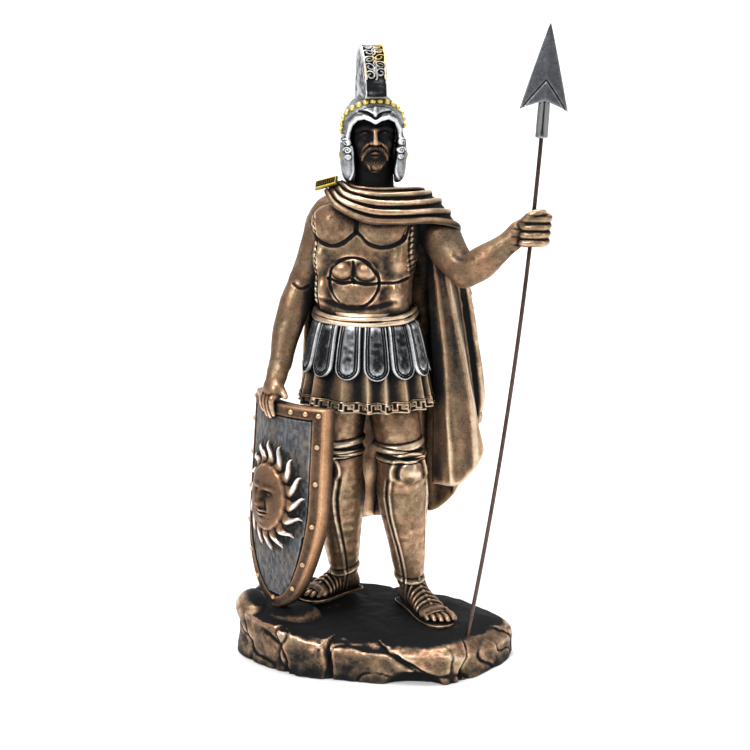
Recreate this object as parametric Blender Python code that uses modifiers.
"""A warrior figurine: a cast figure with its cloak on a rock, a shield set beside it, and a spear of bent wire."""

import math

import bmesh
import bpy
from mathutils import Euler, Matrix, Vector

# Driving sizes, in metres
FIGURE_HEIGHT = 0.2645  # from the rock's top to the top of the crest
ROCK_HEIGHT = 0.019  # from the ground to the rock's top
ROCK_MARGIN = 0.0  # added to the rock's outline all round
CLOAK_THICKNESS = 0.0026
SHIELD_THICKNESS = 0.0052
SHIELD_RIM_HEIGHT = 0.0008  # how far the rim band stands over the field
SHIELD_RIM_WIDTH = 0.0052
RIVET_DIAMETER = 0.0026
SHAFT_DIAMETER = 0.0019
SHAFT_SOCKET_DEPTH = 0.009  # into the rock
POINT_LENGTH = 0.038  # the spear's point, from its tip to the end of its barbs
POINT_WIDTH = 0.0215
POINT_THICKNESS = 0.0042
FERRULE_LENGTH = 0.0165
FERRULE_WIDTH = 0.0056
POINT_SOCKET_DEPTH = 0.010  # of the shaft in the ferrule
FIT_GAP = 0.0003  # between pieces that touch
UNDERSIDE_TRIM = 0.003  # of rock below the ground, cut off flat

# The figure's form is set out in shares of its height: UNIT is one 264.5th of it.
UNIT = FIGURE_HEIGHT / 264.5
FIGURE_TRIANGLE_SHARE = 0.0275  # of the fused grid's, kept in the faceted solid
CLAY_CELL = 1.05 * UNIT  # the grid that fuses the figure's shapes
TORSO_TURN = -14.0  # degrees, towards the shield
TORSO_AXIS = Vector((-4.5, 4.0, 0.0))
HEAD_TURN = 5.0
HEAD_AXIS = Vector((-1.0, -1.0, 0.0))


def clear_scene():
    for obj in list(bpy.data.objects):
        bpy.data.objects.remove(obj)


def new_collection(name, shown=True):
    collection = bpy.data.collections.new(name)
    bpy.context.scene.collection.children.link(collection)
    collection.hide_render = not shown
    return collection


def material(name, colour, roughness, metallic):
    made = bpy.data.materials.new(name)
    made.use_nodes = True
    shader = made.node_tree.nodes["Principled BSDF"]
    shader.inputs["Base Color"].default_value = (*colour, 1.0)
    shader.inputs["Roughness"].default_value = roughness
    shader.inputs["Metallic"].default_value = metallic
    made.diffuse_color = (*colour, 1.0)
    return made


def mesh_object(name, mesh, collection, finish=None):
    obj = bpy.data.objects.new(name, mesh)
    collection.objects.link(obj)
    if finish:
        mesh.materials.clear()
        mesh.materials.append(finish)
    return obj


def baked(obj):
    """The object's mesh with its modifiers, in world space; the object itself is removed."""
    bpy.context.view_layer.update()
    graph = bpy.context.evaluated_depsgraph_get()
    mesh = bpy.data.meshes.new_from_object(obj.evaluated_get(graph))
    mesh.transform(obj.matrix_world)
    bpy.data.objects.remove(obj)
    return mesh


def spline(stations, steps):
    """A smooth curve through the stations, each a tuple of numbers: steps points for each span."""
    def station(i):
        return stations[max(0, min(len(stations) - 1, i))]

    found = []
    for i in range(len(stations) - 1):
        a, b, c, d = (station(i + k) for k in (-1, 0, 1, 2))
        for step in range(steps):
            t = step / steps
            weights = (-t + 2 * t * t - t**3, 2 - 5 * t * t + 3 * t**3, t + 4 * t * t - 3 * t**3, t**3 - t * t)
            found.append(tuple(0.5 * sum(w * v for w, v in zip(weights, values)) for values in zip(a, b, c, d)))
    found.append(tuple(stations[-1]))
    return found


def placed(point):
    """A point of the figure, in units above the rock's top, as a place in metres."""
    return Vector((point[0] * UNIT, point[1] * UNIT, ROCK_HEIGHT + point[2] * UNIT))


def turned(point, degrees, axis):
    offset = Matrix.Rotation(math.radians(degrees), 3, "Z") @ (Vector(point[:3]) - axis)
    return axis + offset


class Clay:
    """Overlapping closed shapes gathered in one mesh, to be fused by a Remesh modifier."""

    def __init__(self, turn=0.0, axis=Vector((0, 0, 0))):
        self.form = bmesh.new()
        self.turn, self.axis = turn, axis

    def facing(self, turn, axis):
        """What is added from here on is given for a body that faces forward, and turned about the axis."""
        self.turn, self.axis = turn, axis

    def _place(self, point):
        return placed(turned(point, self.turn, self.axis))

    def add(self, mesh):
        self.form.from_mesh(mesh)
        bpy.data.meshes.remove(mesh)

    def blob(self, centre, radii, tilt=(0, 0, 0)):
        """An ellipsoid, its radii along its own axes, tilted by degrees about X, Y and Z."""
        angles = [math.radians(a) for a in tilt]
        place = (
            Matrix.Translation(self._place(centre))
            @ Matrix.Rotation(math.radians(self.turn), 4, "Z")
            @ Euler(angles).to_matrix().to_4x4()
            @ Matrix.Diagonal((*[r * UNIT for r in radii], 1.0))
        )
        bmesh.ops.create_uvsphere(self.form, u_segments=20, v_segments=14, radius=1.0, matrix=place)

    def limb(self, stations, sides=16):
        """A round limb along a smooth curve through stations (x, y, z, radius), with round ends."""
        points = spline(stations, 4)
        curve = bpy.data.curves.new("limb", "CURVE")
        curve.dimensions = "3D"
        curve.bevel_depth = UNIT
        curve.bevel_resolution = sides // 4
        curve.use_fill_caps = True
        line = curve.splines.new("POLY")
        line.points.add(len(points) - 1)
        for target, point in zip(line.points, points):
            target.co = (*self._place(point), 1.0)
            target.radius = point[3]
        obj = bpy.data.objects.new("limb", curve)
        bpy.context.scene.collection.objects.link(obj)
        self.add(baked(obj))
        bpy.data.curves.remove(curve)
        for end in (points[0], points[-1]):
            self.blob(end[:3], (end[3],) * 3)

    def loft(self, rings):
        """A closed skin over rings of points, all with as many points, capped at both ends."""
        rows = [[self.form.verts.new(self._place(p)) for p in ring] for ring in rings]
        count = len(rings[0])
        for low, high in zip(rows, rows[1:]):
            for i in range(count):
                j = (i + 1) % count
                self.form.faces.new((low[i], low[j], high[j], high[i]))
        self.form.faces.new(list(reversed(rows[0])))
        self.form.faces.new(rows[-1])

    def sheet(self, columns, thickness):
        """Cloth of an even thickness through columns of points, which run from its top edge to its hem."""
        mesh = bpy.data.meshes.new("sheet")
        rows = len(columns[0])
        corners = [self._place(p) for column in columns for p in column]
        faces = [
            (c * rows + r, (c + 1) * rows + r, (c + 1) * rows + r + 1, c * rows + r + 1)
            for c in range(len(columns) - 1)
            for r in range(rows - 1)
        ]
        mesh.from_pydata(corners, [], faces)
        obj = bpy.data.objects.new("sheet", mesh)
        bpy.context.scene.collection.objects.link(obj)
        wall = obj.modifiers.new("wall", "SOLIDIFY")
        wall.thickness = thickness
        wall.offset = 0.0
        wall.use_even_offset = False
        self.add(baked(obj))
        bpy.data.meshes.remove(mesh)

    def mesh(self, name):
        made = bpy.data.meshes.new(name)
        bmesh.ops.recalc_face_normals(self.form, faces=self.form.faces)
        self.form.to_mesh(made)
        self.form.free()
        return made


def oval(z, x, y, half_width, half_depth, sides=32, squareness=2.3):
    """A level ring of points round (x, y): an ellipse, a little squarer than a true one."""
    ring = []
    for i in range(sides):
        angle = 2 * math.pi * i / sides
        c, s = math.cos(angle), math.sin(angle)
        power = 2 / squareness
        ring.append(
            (
                x + half_width * math.copysign(abs(c) ** power, c),
                y + half_depth * math.copysign(abs(s) ** power, s),
                z,
            )
        )
    return ring


def model_torso(clay):
    """The trunk in its muscle cuirass, with the belt that rolls round its foot."""
    clay.facing(TORSO_TURN, TORSO_AXIS)
    sections = [
        (203, -2, 4, 9, 8),
        (199, -2, 4.5, 14, 10),
        (195, -2, 4.5, 21, 12),
        (188, -3, 4.5, 24.5, 14.5),
        (178, -4, 4, 24.5, 16.5),
        (168, -4.5, 4, 23.2, 16.5),
        (158, -4.5, 4, 21.8, 15.2),
        (150, -4.5, 4, 21.4, 15.0),
        (144, -4.5, 4, 22.2, 15.8),
        (136, -4.5, 4, 23.0, 16.0),
        (120, -4.0, 4, 23.0, 15.0),
    ]
    clay.loft([oval(*s) for s in reversed(sections)])
    for side in (-1, 1):
        clay.blob((-4.5 + 10.6 * side, -8.2, 185.0), (11.8, 4.9, 9.4), (-8, 0, 6 * side))
        for level, x, wide, tall in ((166.0, 5.4, 5.6, 5.6), (155.0, 5.4, 5.6, 5.6)):
            clay.blob((-4.5 + x * side, -9.6, level), (wide, 3.0, tall))
        clay.blob((-4.5 + 17.5 * side, -1.0, 158), (5.2, 9.0, 13.0))
    roll = ((142.2, -0.8), (143.2, 0.4), (145.2, 0.6), (146.4, -0.8))
    belt = [oval(z, -4.5, 4, 23.2 + out, 16.8 + out) for z, out in roll]
    clay.loft([[(x, y, z - 2.6 * max(0.0, (4 - y) / 17) + 1.2) for x, y, z in ring] for ring in belt])


def skirt_ring(z, half_width, half_depth, ripple, count, sides=120):
    ring = []
    for i in range(sides):
        angle = 2 * math.pi * i / sides
        swell = 1 + ripple * math.cos(count * angle) / half_width
        ring.append(
            (-4.0 + half_width * swell * math.cos(angle), 3.5 + half_depth * swell * math.sin(angle), z)
        )
    return ring


TONGUES = 13  # leather strips round the belt
TONGUE_START = 267.0  # degrees, where the first one hangs
# Along a strip: its height, the skirt's half width and half depth there, and half the strip's width.
TONGUE_STATIONS = [
    (144, 22.6, 16.6, 4.0),
    (134, 25.6, 19.6, 5.0),
    (124, 28.0, 21.8, 5.7),
    (119, 29.2, 22.8, 4.6),
    (117, 29.6, 23.2, 2.0),
]


def model_skirt(clay):
    """The pleated tunic skirt and the row of strips that hang over it from the belt."""
    clay.facing(TORSO_TURN, TORSO_AXIS)
    sections = [
        (144, 21.5, 15.5, 0.0),
        (132, 25.0, 19.0, 0.6),
        (118, 28.0, 21.6, 1.2),
        (101.5, 31.0, 24.0, 1.7),
    ]
    rings = [skirt_ring(z, w, d, ripple, 17) for z, w, d, ripple in spline(sections, 3)]
    clay.loft(list(reversed(rings)))
    for i in range(TONGUES):
        angle = math.radians(TONGUE_START) + 2 * math.pi * i / TONGUES
        outward = Vector((math.cos(angle), math.sin(angle), 0))
        across = Vector((-math.sin(angle), math.cos(angle), 0))
        rings = []
        for z, w, d, half in TONGUE_STATIONS:
            middle = Vector((-4.0 + w * outward.x, 3.5 + d * outward.y, z))
            corners = ((-1, -1), (1, -1), (0.8, 1), (-0.8, 1))
            rings.append([tuple(middle + across * a * half + outward * b * 1.1) for a, b in corners])
        clay.loft(list(reversed(rings)))


# Along a foot from its heel: share of its length, half its width and its height.
FOOT_STATIONS = [
    (-0.06, 3.4, 6.5), (0.08, 5.4, 12.5), (0.25, 5.6, 13.0), (0.45, 5.9, 10.6),
    (0.65, 6.9, 7.6), (0.85, 7.4, 5.0), (1.0, 6.0, 3.8), (1.05, 3.6, 3.0),
]
# Along a sole: share of the foot's length and half the sole's width.
SOLE_STATIONS = [(-0.12, 2.5), (-0.05, 5.2), (0.3, 5.8), (0.7, 8.0), (0.95, 7.6), (1.08, 4.6), (1.12, 2.0)]


def model_leg(clay, hip, knee, calf, ankle, heel, toe):
    """A leg in its greave, and the sandalled foot, whose sole lies at the height of its heel and toe."""
    clay.facing(0.0, Vector((0, 0, 0)))
    shin = [(a + b) / 2 for a, b in zip(calf, ankle)]
    thigh = [(a + b) / 2 for a, b in zip(hip, knee)]
    clay.limb([(*hip, 13.0), (*thigh, 11.6), (*knee, 10.5), (*calf, 11.6), (*shin, 8.8), (*ankle, 5.6)])
    x, y, z = knee
    clay.limb([(x, y, z, 10.8), (x, y - 0.2, z + 3.5, 11.4), (x, y, z + 6.5, 10.6)])
    clay.blob((knee[0] + 0.4, knee[1] - 8.0, knee[2] - 3.0), (6.0, 4.2, 7.0))
    forward = (Vector(toe) - Vector(heel)).normalized()
    side = Vector((-forward.y, forward.x, 0))
    length = (Vector(toe) - Vector(heel)).length
    rows = []
    for share, half, top in FOOT_STATIONS:
        middle = Vector(heel) + forward * share * length
        ring = [
            tuple(middle + side * half * math.cos(a) + Vector((0, 0, top / 2 + top / 2 * math.sin(a))))
            for a in (2 * math.pi * k / 14 for k in range(14))
        ]
        rows.append(ring)
    clay.loft(rows)
    sole = []
    corners = ((-1, -2.5), (1, -2.5), (1, 2.2), (-1, 2.2))
    for share, half in SOLE_STATIONS:
        middle = Vector(heel) + forward * share * length
        sole.append([tuple(middle + side * a * half + Vector((0, 0, b))) for a, b in corners])
    clay.loft(sole)


def model_legs(clay):
    left = {
        "hip": (4.5, 5, 126), "knee": (12.0, -3.5, 76), "calf": (12.8, 2.5, 59),
        "ankle": (16.5, 6.5, 15), "heel": (15.0, 13.0, 0), "toe": (31.0, -19.0, 0),
    }
    right = {
        "hip": (-13.5, 8, 126), "knee": (-16.8, 3.5, 75), "calf": (-17.2, 8.0, 57),
        "ankle": (-14.6, 13.0, 17), "heel": (-10.5, 19.5, 4.6), "toe": (-32.5, 2.5, 4.6),
    }
    model_leg(clay, **left)
    model_leg(clay, **right)


def model_arms(clay):
    clay.facing(0.0, Vector((0, 0, 0)))
    # His right arm hangs with the hand on the shield.
    clay.limb([(-19.0, 6.0, 189.5, 9.3), (-22.6, 7.2, 181, 9.3), (-27.2, 8.0, 169, 8.3), (-33.4, 8.0, 156.5, 7.0)])
    clay.limb([(-33.4, 8.0, 156.5, 7.0), (-37.6, 5.0, 146, 7.1), (-41.0, 0.6, 134, 6.5), (-43.2, -4.0, 121, 4.8)])
    # His left arm comes forward and bends up to the spear.
    clay.limb([(22, 5, 187, 9.6), (27.5, 3.0, 182, 9.8), (33.5, -5.0, 173, 8.6), (40.6, -12.8, 164.5, 7.2)])
    clay.limb([(40.6, -12.8, 164.5, 7.2), (46.5, -15.4, 169.0, 7.5), (53.5, -17.8, 175.0, 6.4), (60.6, -19.6, 181, 4.9)])


HAND_ALONG = -1.5  # where the right hand lies on the shield's top edge, from its middle


def model_shield_hand(clay):
    """The right hand: its palm lies on the shield's top edge, and its fingers hang over the front."""
    along = SHIELD_ALONG
    out = SHIELD_OUT
    wall = (SHIELD_THICKNESS + SHIELD_RIM_HEIGHT) / UNIT
    root = SHIELD_TOP + along * HAND_ALONG + out * (SHIELD_BOW + wall / 2) + Vector((0, 0, 3.0))
    wrist = Vector((-43.6, -4.0, 121.0))
    palm = wrist.lerp(root, 0.5) + Vector((0, 0, 1.0))
    clay.limb([(*wrist, 4.8), (*palm, 4.4), (*(root + Vector((0, 0, 0.6))), 3.6)])
    clay.limb([tuple(root + along * a) + (2.7,) for a in (-2.8, 0.0, 2.8)])
    for shift, reach in ((-3.6, 6.8), (-1.3, 8.2), (1.1, 8.4), (3.4, 7.2)):
        knuckle = root + along * shift
        front = knuckle + out * (wall / 2 + 1.9) + Vector((0, 0, -1.2))
        middle = front + out * 0.3 + Vector((0, 0, -reach * 0.45))
        tip = middle - out * 0.7 + Vector((0, 0, -reach * 0.4))
        clay.limb([(*knuckle, 2.0), (*front, 1.8), (*middle, 1.6), (*tip, 1.4)], sides=8)


def shaft_point(height):
    """The middle of the bowed spear shaft at a height above the rock's top, in units."""
    share = (height - SHAFT_FOOT.z) / (SHAFT_HEAD.z - SHAFT_FOOT.z)
    straight = SHAFT_FOOT.lerp(SHAFT_HEAD, share)
    return straight + SHAFT_BOW * 4 * share * (1 - share)


SHAFT_FOOT = Vector((42.4, -25.4, -3.0))
SHAFT_HEAD = Vector((72.5, -20.0, 225.8))
SHAFT_BOW = Vector((3.2, -0.3, 0.0))


def model_spear_hand(clay):
    """The left fist, closed round the shaft."""
    grip = shaft_point(185.6)
    lean = (shaft_point(192) - shaft_point(180)).normalized()
    wrist = Vector((60.6, -19.6, 181))
    palm = (grip - wrist).normalized()
    side = lean.cross(palm).normalized()
    clay.limb([(*wrist, 4.9), (*(grip - palm * 3.6 - side * 0.5), 5.6)])
    clay.blob(tuple(grip - palm * 1.5 + side * 1.2), (6.4, 5.6, 7.8), (0, 6, 0))
    for i in range(4):
        level = grip + lean * (5.3 - 3.5 * i)
        path = []
        for angle in (-20, 35, 90, 145, 200):
            a = math.radians(angle)
            path.append((*(level + palm * 4.6 * math.cos(a) - side * 4.6 * math.sin(a)), 1.95))
        clay.limb(path, sides=8)
    thumb_root = grip - palm * 3.0 - side * 3.2 + lean * 1.5
    thumb_tip = grip + palm * 0.6 - side * 5.0 + lean * 6.6
    clay.limb([(*thumb_root, 2.6), (*thumb_tip, 2.1)], sides=8)


def model_head(clay):
    """The head in its helmet: dome, brow band, cheek guards, neck guard and crest."""
    clay.facing(0.0, Vector((0, 0, 0)))
    clay.limb([(-1.2, 4.0, 192, 9.5), (-1.0, 2.5, 212, 8.6)])
    clay.facing(HEAD_TURN, HEAD_AXIS)
    clay.blob((-1.0, -1.6, 224.5), (10.6, 12.8, 15.0))
    clay.blob((-1.0, -5.8, 218.5), (8.0, 8.6, 9.0))
    clay.limb([(-1.0, -13.4, 228.4, 1.2), (-1.0, -15.0, 223.6, 1.8)], sides=8)
    clay.blob((-1.0, -12.0, 213.0), (4.6, 3.2, 3.4))
    clay.blob((-1.0, 2.2, 230.4), (13.6, 15.8, 14.0))
    clay.limb(
        [
            (-12.2, -6.5, 224.0, 1.6), (-11.0, -9.8, 230.2, 1.8), (-6.0, -13.4, 234.4, 1.8), (-1.0, -14.8, 233.0, 1.7),
            (4.2, -13.4, 234.4, 1.8), (9.2, -9.8, 230.2, 1.8), (10.4, -6.5, 224.0, 1.6),
        ],
        sides=8,
    )
    for side in (-1, 1):
        clay.blob((-1.0 + 11.6 * side, -3.0, 217.5), (3.6, 8.0, 11.0), (-8, 0, 0))
        clay.blob((-1.0 + 10.2 * side, -7.0, 208.5), (3.0, 5.0, 5.6), (-20, 0, 8 * side))
        clay.blob((-1.0 + 8.0 * side, -1.0, 208.5), (4.6, 7.0, 6.0))
    clay.limb([(-12.0, 5, 212, 3.0), (-1.0, 14.0, 208.5, 3.4), (10.0, 5, 212, 3.0)])
    crest = []
    for angle in range(20, 189, 12):
        a = math.radians(angle)
        inner = (-18.5 * math.cos(a) + 2.0, 13.6 * math.sin(a) + 229.5)
        outer = (-19.5 * math.cos(a) + 4.0, 34.0 * math.sin(a) + 230.5)
        crest.append((inner, outer))
    left, right = -6.6, 4.6
    rings = [[(left, *i), (right, *i), (right, *o), (left, *o)] for i, o in crest]
    clay.loft(rings)


CLOAK_COLUMNS = [
    [(-20, 9, 196), (-27.5, 12, 182), (-31.0, 12, 146), (-33, 12, 106), (-32, 14, 72)],
    [(-17, 13, 198), (-24, 18, 184), (-27, 20, 146), (-30, 22, 100), (-29, 24, 58)],
    [(-12, 16, 199.5), (-17, 22.5, 185), (-20, 28, 146), (-22, 33, 96), (-22, 36, 39)],
    [(-4, 17.0, 200), (-7, 22.0, 186), (-9, 26, 146), (-10, 31, 93), (-10, 36, 35.5)],
    [(6, 17.0, 200), (5, 23.5, 186), (4, 31, 146), (4, 37, 93), (3, 42, 35)],
    [(14, 15.5, 199.0), (15, 21, 184), (16, 27, 146), (17, 32, 93), (18, 37, 36.5)],
    [(21, 13.0, 197.5), (24, 18.5, 182), (29, 27, 146), (31, 33, 93), (32, 36, 41)],
    [(27, 10, 195), (31, 15, 180), (37, 19, 146), (41, 24, 96), (41, 27, 56)],
    [(31, 8, 190), (36.0, 11, 177), (43.5, 15, 149), (50.5, 17.5, 106), (48.5, 16.5, 88)],
    [(30, 7, 187), (33.5, 9, 174), (38.5, 12, 146), (44.5, 12.5, 104), (47.0, 12, 82)],
    [(28, 7, 184), (31.5, 6, 171), (37, 3.5, 144), (44.5, 0.5, 104), (50.0, 0.5, 78)],
    [(25, 8, 182), (28, 6, 168), (31, 1.5, 142), (36, -2.5, 104), (40.0, -1.5, 63.5)],
    [(23, 10, 180), (24.0, 8, 166), (25.5, 5.5, 142), (27, 4, 104), (27, 5, 62)],
]

# The drape across the chest: at each station its neckline, its middle and its lower edge.
DRAPE_STATIONS = [
    [(-14.5, -1.5, 204.2), (-18.5, -4.5, 202.4), (-22.5, -6.0, 199.5)],
    [(-9.0, -9.5, 202.2), (-13.0, -13.5, 198.8), (-17.5, -14.5, 194.5)],
    [(1.0, -11.5, 201.5), (-1.0, -16.5, 195.5), (-3.5, -18.0, 188.2)],
    [(11.0, -9.0, 201.5), (11.0, -15.5, 195.0), (11.0, -16.5, 187.6)],
    [(18.0, -4.0, 201.0), (22.5, -10.0, 195.0), (25.0, -12.0, 187.5)],
    [(21.0, 3.0, 200.0), (28.0, -2.5, 194.5), (34.5, -6.0, 184.0)],
    [(21.5, 9.0, 199.5), (30.0, 5.5, 193.0), (37.5, 2.5, 180.5)],
    [(20.0, 13.0, 199.0), (28.0, 12.0, 192.0), (34.5, 10.5, 179.0)],
]


def model_cloak(clay):
    """The cloak that hangs behind the figure, and its drape from the brooch over the chest."""
    clay.facing(0.0, Vector((0, 0, 0)))
    columns = [spline(column, 4) for column in CLOAK_COLUMNS]
    smooth = list(zip(*[spline(row, 3) for row in zip(*columns)]))
    clay.sheet(smooth, CLOAK_THICKNESS)
    stations = [spline(station, 6) for station in DRAPE_STATIONS]
    columns = []
    for column in zip(*[spline(row, 4) for row in zip(*stations)]):
        folded = []
        for r, (x, y, z) in enumerate(column):
            lift = 0.8 * math.cos(2 * math.pi * 4 * r / (len(column) - 1))
            folded.append((x, y - lift, z + 0.3 * lift))
        columns.append(folded)
    clay.sheet(columns, CLOAK_THICKNESS)
    clay.blob((-18.8, -5.0, 203.0), (5.4, 3.2, 2.6), (0, -22, 20))


# The rock's outline on the ground and the height of its edge there, going round from his left side by the back.
ROCK_STATIONS = [
    (66.0, -5.0, 13.0), (59.0, 12.0, 15.0), (45.0, 26.0, 17.0), (25.0, 36.0, 19.0), (3.0, 42.5, 20.0),
    (-18.0, 40.5, 23.0), (-38.0, 33.0, 28.0), (-55.0, 20.0, 30.0), (-65.5, 3.0, 27.5), (-61.0, -12.0, 25.0),
    (-46.0, -27.5, 22.5), (-27.0, -37.5, 19.0), (-6.0, -42.0, 17.5), (13.0, -44.5, 16.0),
    (35.0, -43.0, 14.5), (53.0, -28.0, 13.0),
]
# Shelves of the rock: share of its edge's height, inset from the outline in front and behind, depth of the clefts.
ROCK_SHELVES = [
    (0.0, 1.4, 1.4, 0.0), (0.14, 0.3, 0.3, 0.3), (0.36, 0.2, 0.4, 0.8), (0.58, 1.0, 1.6, 1.2),
    (0.76, 2.0, 3.0, 1.5), (0.90, 3.4, 4.6, 1.6), (1.0, 6.5, 7.5, 1.4), (1.02, 13.0, 13.0, 0.8),
]


def rock_rim(inset_front, inset_back, cleft):
    """The rock's outline at one shelf, in units, with its clefts cut in, and its edge's height at each point."""
    closed = ROCK_STATIONS[-1:] + ROCK_STATIONS + ROCK_STATIONS[:2]
    rim = []
    for x, y, top in spline(closed, 6)[6:-7]:
        angle = math.atan2(y, x)
        front = 0.5 - 0.5 * math.sin(angle)
        inset = inset_front * front + inset_back * (1 - front)
        inset += cleft * (math.sin(7 * angle + 0.6) + 0.8 * math.sin(11 * angle + 2.0) + 0.6 * math.sin(17 * angle))
        reach = math.hypot(x, y)
        rim.append((x * (reach - inset) / reach, y * (reach - inset) / reach, top))
    return rim


def model_rock():
    """The rock as one closed body: shelves up to its top, from below the underside that is cut flat afterwards."""
    form = bmesh.new()
    rows = []
    for share, inset_front, inset_back, cleft in ROCK_SHELVES:
        row = []
        for x, y, top in rock_rim(inset_front, inset_back, cleft):
            margin = Vector((x, y, 0)).normalized() * ROCK_MARGIN
            height = share * top / 19.0 * ROCK_HEIGHT if share > 0 else -UNDERSIDE_TRIM
            row.append(form.verts.new(Vector((x * UNIT, y * UNIT, height)) + margin))
        rows.append(row)
    shoulder = [Vector((v.co.x * 0.72, v.co.y * 0.72, 0.35 * v.co.z + 0.62 * ROCK_HEIGHT)) for v in rows[-1]]
    rows.append([form.verts.new(co) for co in shoulder])
    for low, high in zip(rows, rows[1:]):
        for i in range(len(low)):
            j = (i + 1) % len(low)
            form.faces.new((low[i], low[j], high[j], high[i]))
    form.faces.new(list(reversed(rows[0])))
    crown = form.verts.new((0.0, 0.0, 0.985 * ROCK_HEIGHT))
    for i in range(len(rows[-1])):
        form.faces.new((rows[-1][i], rows[-1][(i + 1) % len(rows[-1])], crown))
    mesh = bpy.data.meshes.new("rock")
    form.to_mesh(mesh)
    form.free()
    return mesh


def ground_block():
    """The block whose top is the ground, which cuts the rock's underside flat."""
    form = bmesh.new()
    place = Matrix.Translation((0.0, 0.0, -0.02)) @ Matrix.Diagonal((0.4, 0.4, 0.04, 1.0))
    bmesh.ops.create_cube(form, size=1.0, matrix=place)
    mesh = bpy.data.meshes.new("ground_block")
    form.to_mesh(mesh)
    form.free()
    return mesh


def model_boulders(clay):
    """The lumps of the rock's top: under the shield and the right foot, and along the front."""
    clay.facing(0.0, Vector((0, 0, 0)))
    clay.blob((-40.0, -8.0, 0.0), (16.0, 14.0, 7.6), (0, 0, 20))
    clay.blob((-22.0, 11.0, -1.0), (20.0, 13.0, 6.0), (0, 0, 38))
    clay.blob((-34.0, -27.0, -6.0), (10.0, 8.0, 7.5), (0, 10, 0))
    clay.blob((48.0, -20.0, -7.0), (12.0, 12.0, 6.0))
    clay.blob((22.0, -34.0, -6.5), (14.0, 8.0, 5.5))


# The shield stands on the rock, leaning a little, its face turned to his right.
SHIELD_TURN = 53.0
SHIELD_ALONG = Vector((math.cos(math.radians(SHIELD_TURN)), -math.sin(math.radians(SHIELD_TURN)), 0.0))
SHIELD_OUT = Vector((-math.sin(math.radians(SHIELD_TURN)), -math.cos(math.radians(SHIELD_TURN)), 0.0))
SHIELD_TOP = Vector((-33.4, -8.6, 106.8))  # the middle of its top edge
SHIELD_FOOT = Vector((-40.6, -5.0, 6.6))  # its point
SHIELD_HALF_WIDTH = 28.3
SHIELD_BOW = 10.0  # how far its middle stands before its sides
SHIELD_FOOT_BOW = 0.3  # share of the bow that is left at its point
SHIELD_SWELL_SHARE = 0.55  # of its height, over which it narrows to the point


def shield_half_width(share):
    """Half the shield's width at a share of its height, from the point up."""
    if share >= SHIELD_SWELL_SHARE:
        return SHIELD_HALF_WIDTH * (1 - 0.03 * (share - SHIELD_SWELL_SHARE) / (1 - SHIELD_SWELL_SHARE))
    return SHIELD_HALF_WIDTH * (1 - (1 - share / SHIELD_SWELL_SHARE) ** 2.0) ** 0.52


def shield_outline(inset):
    """The shield's outline in its own plane, in metres: along it and up from its point."""
    height = (SHIELD_TOP - SHIELD_FOOT).length * UNIT
    half = [(shield_half_width((k / 15) ** 1.7) * UNIT, (k / 15) ** 1.7 * height) for k in range(1, 16)]
    top = [(half[-1][0] * (1 - k / 4), height) for k in range(1, 8)]
    outline = [(0.0, 0.0)] + half + top + [(-x, z) for x, z in reversed(half)]
    moved = []
    for i, (x, z) in enumerate(outline):
        before, after = outline[i - 1], outline[(i + 1) % len(outline)]
        edge = Vector((after[0] - before[0], after[1] - before[1])).normalized()
        moved.append((x - edge.y * inset, z + edge.x * inset))
    return moved


def shield_place(x, out, z):
    """A place in metres from the shield's own measures: along it, out of its face, up from its point."""
    up = (SHIELD_TOP - SHIELD_FOOT).normalized()
    rise = min(1.0, max(0.0, z / (0.5 * (SHIELD_TOP - SHIELD_FOOT).length * UNIT)))
    fullness = SHIELD_FOOT_BOW + (1 - SHIELD_FOOT_BOW) * rise * rise * (3 - 2 * rise)
    bow = SHIELD_BOW * UNIT * fullness * (1 - (x / (SHIELD_HALF_WIDTH * UNIT)) ** 2)
    return placed(SHIELD_FOOT) + SHIELD_ALONG * x + up * z + SHIELD_OUT * (out + bow)


def shield_plate(grow=0.0):
    """The plate with its raised rim; with grow, the same body larger by that much all round."""
    form = bmesh.new()
    back = -grow
    middle = EMBLEM_CENTRE * UNIT
    rim = SHIELD_THICKNESS + SHIELD_RIM_HEIGHT + grow
    field = rim if grow else SHIELD_THICKNESS
    steps = [
        (0.0, 0.25, back), (0.0, 0.5, back), (0.0, 0.75, back), (-grow, 1.0, back), (-grow, 1.0, rim),
        (SHIELD_RIM_WIDTH, 1.0, rim), (SHIELD_RIM_WIDTH + 0.0004, 1.0, field), (SHIELD_RIM_WIDTH + 0.0004, 0.75, field),
        (SHIELD_RIM_WIDTH, 0.5, field), (0.0, 0.25, field),
    ]
    rows = []
    for inset, share, out in steps:
        ring = [(x * share, middle + (z - middle) * share) for x, z in shield_outline(inset)]
        rows.append([form.verts.new(shield_place(x, out, z)) for x, z in ring])
    for low, high in zip(rows, rows[1:]):
        for i in range(len(low)):
            j = (i + 1) % len(low)
            form.faces.new((low[i], low[j], high[j], high[i]))
    form.faces.new(list(reversed(rows[0])))
    form.faces.new(rows[-1])
    bmesh.ops.triangulate(form, faces=form.faces)
    bmesh.ops.recalc_face_normals(form, faces=form.faces)
    mesh = bpy.data.meshes.new("shield")
    form.to_mesh(mesh)
    form.free()
    return mesh


EMBLEM_RAYS = 16
EMBLEM_CENTRE = 55.5  # up from the shield's point, in units
EMBLEM_RAY_REACH = 25.0
EMBLEM_DISC = (12.0, 15.5)  # half its width and half its height
EMBLEM_HEIGHT = 0.0011
EMBLEM_DOME = 0.0052


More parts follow.
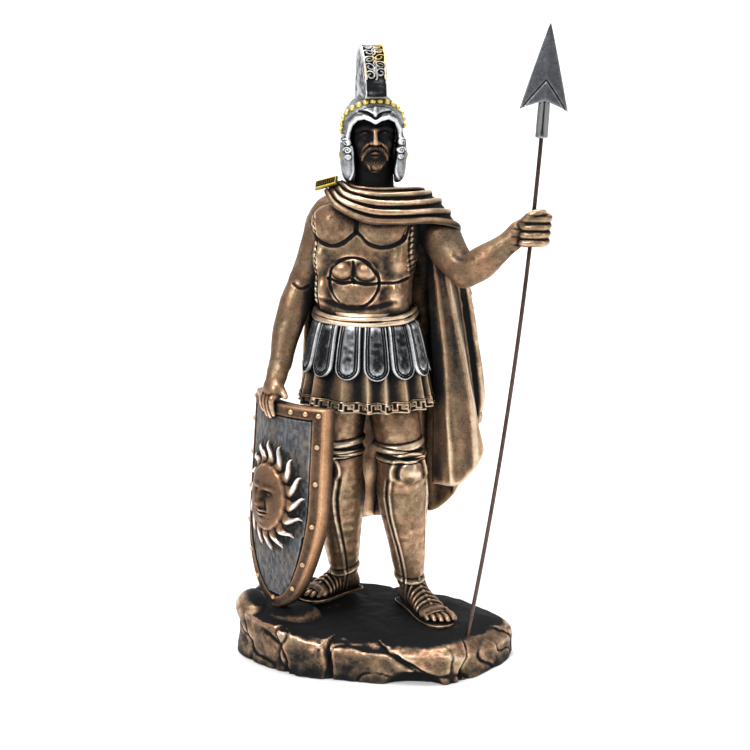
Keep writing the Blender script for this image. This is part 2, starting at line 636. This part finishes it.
def shield_emblem():
    """The sun on the shield: a star of rays and a domed disc, as a body to be fused on the field."""
    form = bmesh.new()
    low, high = SHIELD_THICKNESS - 0.0008, SHIELD_THICKNESS + EMBLEM_HEIGHT
    rows = []
    for out, root, tip in ((low, 15.5, EMBLEM_RAY_REACH), (high, 15.2, 0.97 * EMBLEM_RAY_REACH), (high, 13.0, 13.0)):
        row = []
        for i in range(2 * EMBLEM_RAYS):
            angle = math.pi * i / EMBLEM_RAYS
            reach = tip if i % 2 == 0 else root
            x = reach * math.cos(angle) * 0.93 * UNIT
            z = (EMBLEM_CENTRE + reach * math.sin(angle)) * UNIT
            row.append(form.verts.new(shield_place(x, out, z)))
        rows.append(row)
    crown = form.verts.new(shield_place(0.0, high, EMBLEM_CENTRE * UNIT))
    for i in range(2 * EMBLEM_RAYS):
        j = (i + 1) % (2 * EMBLEM_RAYS)
        form.faces.new((rows[0][i], rows[0][j], rows[1][j], rows[1][i]))
        form.faces.new((rows[1][i], rows[1][j], rows[2][j], rows[2][i]))
        form.faces.new((rows[2][i], rows[2][j], crown))
    form.faces.new(list(reversed(rows[0])))
    bmesh.ops.triangulate(form, faces=form.faces)
    bmesh.ops.recalc_face_normals(form, faces=form.faces)
    mesh = bpy.data.meshes.new("star")
    form.to_mesh(mesh)
    form.free()
    return mesh


def shield_dome(x, out, z, radii):
    """A dome standing on the shield's face."""
    form = bmesh.new()
    place = (
        Matrix.Translation(shield_place(x, out, z))
        @ Matrix.Rotation(math.radians(-SHIELD_TURN), 4, "Z")
        @ Matrix.Diagonal((*radii, 1.0))
    )
    sides, rings = (8, 6) if radii[0] < 0.004 else (18, 8)
    bmesh.ops.create_uvsphere(form, u_segments=sides, v_segments=rings, radius=1.0, matrix=place)
    mesh = bpy.data.meshes.new("dome")
    form.to_mesh(mesh)
    form.free()
    return mesh


RIVET_SHARES_LEFT = (0.115, 0.255, 0.45, 0.655, 0.828, 0.972)  # of the shield's height, on his left
RIVET_SHARES_RIGHT = (0.10, 0.222, 0.365, 0.53, 0.70, 0.863, 0.972)  # and on his right
RIVET_TOP_SHARES = (0.42, 0.68)  # of half its width, along the top edge


def shield_rivets():
    """The rivets' places along the middle of the rim band, in metres: along the shield and up from its point."""
    height = (SHIELD_TOP - SHIELD_FOOT).length * UNIT
    middle = shield_outline(SHIELD_RIM_WIDTH / 2)
    half = sorted((z, x) for x, z in middle if x > 0 and z < height - SHIELD_RIM_WIDTH * 0.45)
    places = []
    for side, shares in ((1, RIVET_SHARES_LEFT), (-1, RIVET_SHARES_RIGHT)):
        for share in shares:
            level = min(share * height, half[-1][0])
            low = max(p for p in half if p[0] <= level)
            high = min(p for p in half if p[0] >= level)
            part = (level - low[0]) / (high[0] - low[0]) if high[0] > low[0] else 0.0
            places.append((side * (low[1] + (high[1] - low[1]) * part), level))
    level = height - SHIELD_RIM_WIDTH / 2
    return places + [(share * SHIELD_HALF_WIDTH * UNIT, level) for share in RIVET_TOP_SHARES] + [(0.0, 0.045 * height)]


def spear_shaft(radius, foot, head, sides=10):
    """The bowed shaft as a tube from one height to another, both in metres above the rock's top."""
    curve = bpy.data.curves.new("shaft", "CURVE")
    curve.dimensions = "3D"
    curve.bevel_depth = radius
    curve.bevel_resolution = sides // 4
    curve.use_fill_caps = True
    line = curve.splines.new("POLY")
    count = 28
    line.points.add(count)
    for i, target in enumerate(line.points):
        height = (foot + (head - foot) * i / count) / UNIT
        target.co = (*placed(shaft_point(height)), 1.0)
    obj = bpy.data.objects.new("shaft", curve)
    bpy.context.scene.collection.objects.link(obj)
    mesh = baked(obj)
    bpy.data.curves.remove(curve)
    welded = bmesh.new()
    welded.from_mesh(mesh)
    bmesh.ops.remove_doubles(welded, verts=welded.verts, dist=0.00001)
    bmesh.ops.recalc_face_normals(welded, faces=welded.faces)
    welded.to_mesh(mesh)
    welded.free()
    return mesh


POINT_TILT = 3.6  # degrees, the lean of the spear's point to his left


def point_place(x, y, z):
    """A place on the spear's point, from the end of its ferrule, in metres."""
    turn = Matrix.Rotation(math.radians(POINT_TILT), 3, "Y")
    return placed(shaft_point(POINT_FOOT)) + turn @ Vector((x, y, z))


POINT_FOOT = 225.7  # height of the ferrule's end above the rock's top, in units


def spear_blade():
    """The flat point with its barbs and a ridge down its middle."""
    form = bmesh.new()
    half, thick = POINT_WIDTH / 2, POINT_THICKNESS / 2
    low = FERRULE_LENGTH - 0.0048
    outline = [
        (0.0, low + POINT_LENGTH), (half, low), (FERRULE_WIDTH * 0.42, low + 0.0045), (-FERRULE_WIDTH * 0.42, low + 0.0045), (-half, low),
    ]
    rim = []
    for side in (-0.00025, 0.00025):
        rim.append([form.verts.new(point_place(x, side, z)) for x, z in outline])
    ridge = [form.verts.new(point_place(0.0, y, low + POINT_LENGTH * 0.38)) for y in (-thick, thick)]
    count = len(outline)
    for i in range(count):
        j = (i + 1) % count
        form.faces.new((rim[0][i], rim[0][j], rim[1][j], rim[1][i]))
        form.faces.new((rim[0][j], rim[0][i], ridge[0]))
        form.faces.new((rim[1][i], rim[1][j], ridge[1]))
    bmesh.ops.triangulate(form, faces=form.faces)
    bmesh.ops.recalc_face_normals(form, faces=form.faces)
    mesh = bpy.data.meshes.new("blade")
    form.to_mesh(mesh)
    form.free()
    return mesh


def round_rod(name, radius_low, radius_high, low, high, sides=16):
    """A round rod along the point's own axis, between two distances from the ferrule's end."""
    form = bmesh.new()
    rows = []
    for radius, z in ((radius_low, low), (radius_high, high)):
        rows.append(
            [
                form.verts.new(point_place(radius * math.cos(a), radius * math.sin(a), z))
                for a in (2 * math.pi * k / sides for k in range(sides))
            ]
        )
    for i in range(sides):
        j = (i + 1) % sides
        form.faces.new((rows[0][i], rows[0][j], rows[1][j], rows[1][i]))
    form.faces.new(list(reversed(rows[0])))
    form.faces.new(rows[1])
    bmesh.ops.recalc_face_normals(form, faces=form.faces)
    mesh = bpy.data.meshes.new(name)
    form.to_mesh(mesh)
    form.free()
    return mesh


def boolean(obj, cutter, operation):
    made = obj.modifiers.new(cutter.name, "BOOLEAN")
    made.object = cutter
    made.operation = operation
    made.solver = "EXACT"


def main():
    clear_scene()
    parts = new_collection("warrior_figurine")
    cutters = new_collection("cutters", shown=False)

    def cutter(name, mesh):
        obj = mesh_object(name, mesh, cutters)
        obj.hide_render = True
        obj.display_type = "WIRE"
        return obj

    bronze = material("antique_bronze", (0.35, 0.19, 0.10), 0.45, 0.7)
    silver = material("antique_silver", (0.42, 0.43, 0.44), 0.5, 0.7)
    wire = material("dark_wire", (0.05, 0.04, 0.035), 0.45, 0.6)
    steel = material("grey_steel", (0.33, 0.34, 0.34), 0.45, 0.8)

    clay = Clay()
    model_torso(clay)
    model_skirt(clay)
    model_legs(clay)
    model_arms(clay)
    model_shield_hand(clay)
    model_spear_hand(clay)
    model_head(clay)
    model_cloak(clay)
    clay.add(model_rock())
    model_boulders(clay)
    warrior = mesh_object("warrior", clay.mesh("warrior"), parts, bronze)
    fuse = warrior.modifiers.new("fuse", "REMESH")
    fuse.mode = "VOXEL"
    fuse.voxel_size = CLAY_CELL
    blend = warrior.modifiers.new("blend", "SMOOTH")
    blend.factor = 0.5
    blend.iterations = 2
    thin = warrior.modifiers.new("thin", "DECIMATE")
    thin.ratio = FIGURE_TRIANGLE_SHARE
    boolean(warrior, cutter("ground", ground_block()), "DIFFERENCE")
    shaft_radius = SHAFT_DIAMETER / 2
    bore = spear_shaft(shaft_radius + FIT_GAP, -SHAFT_SOCKET_DEPTH - FIT_GAP, POINT_FOOT * UNIT - 0.02)
    boolean(warrior, cutter("shaft_bore", bore), "DIFFERENCE")
    boolean(warrior, cutter("shield_pocket", shield_plate(FIT_GAP)), "DIFFERENCE")

    shield = mesh_object("shield", shield_plate(), parts, silver)
    boolean(shield, cutter("emblem_star", shield_emblem()), "UNION")
    disc_radii = (EMBLEM_DISC[0] * UNIT, EMBLEM_DOME, EMBLEM_DISC[1] * UNIT)
    disc = shield_dome(0.0, SHIELD_THICKNESS - 0.0012, EMBLEM_CENTRE * UNIT, disc_radii)
    boolean(shield, cutter("emblem_disc", disc), "UNION")
    for i, (x, z) in enumerate(shield_rivets()):
        radius = RIVET_DIAMETER / 2
        dome = shield_dome(x, SHIELD_THICKNESS + SHIELD_RIM_HEIGHT, z, (radius, radius * 0.8, radius))
        boolean(shield, cutter(f"rivet_{i + 1:02d}", dome), "UNION")

    head_end = POINT_FOOT * UNIT + POINT_SOCKET_DEPTH
    mesh_object("spear_shaft", spear_shaft(shaft_radius, -SHAFT_SOCKET_DEPTH, head_end), parts, wire)

    point = mesh_object("spear_head", spear_blade(), parts, steel)
    ferrule = round_rod("ferrule", FERRULE_WIDTH / 2, FERRULE_WIDTH * 0.36, 0.0, FERRULE_LENGTH + 0.004)
    boolean(point, cutter("ferrule", ferrule), "UNION")
    socket = spear_shaft(shaft_radius + FIT_GAP, POINT_FOOT * UNIT - 0.003, head_end + FIT_GAP)
    boolean(point, cutter("shaft_socket", socket), "DIFFERENCE")


main()
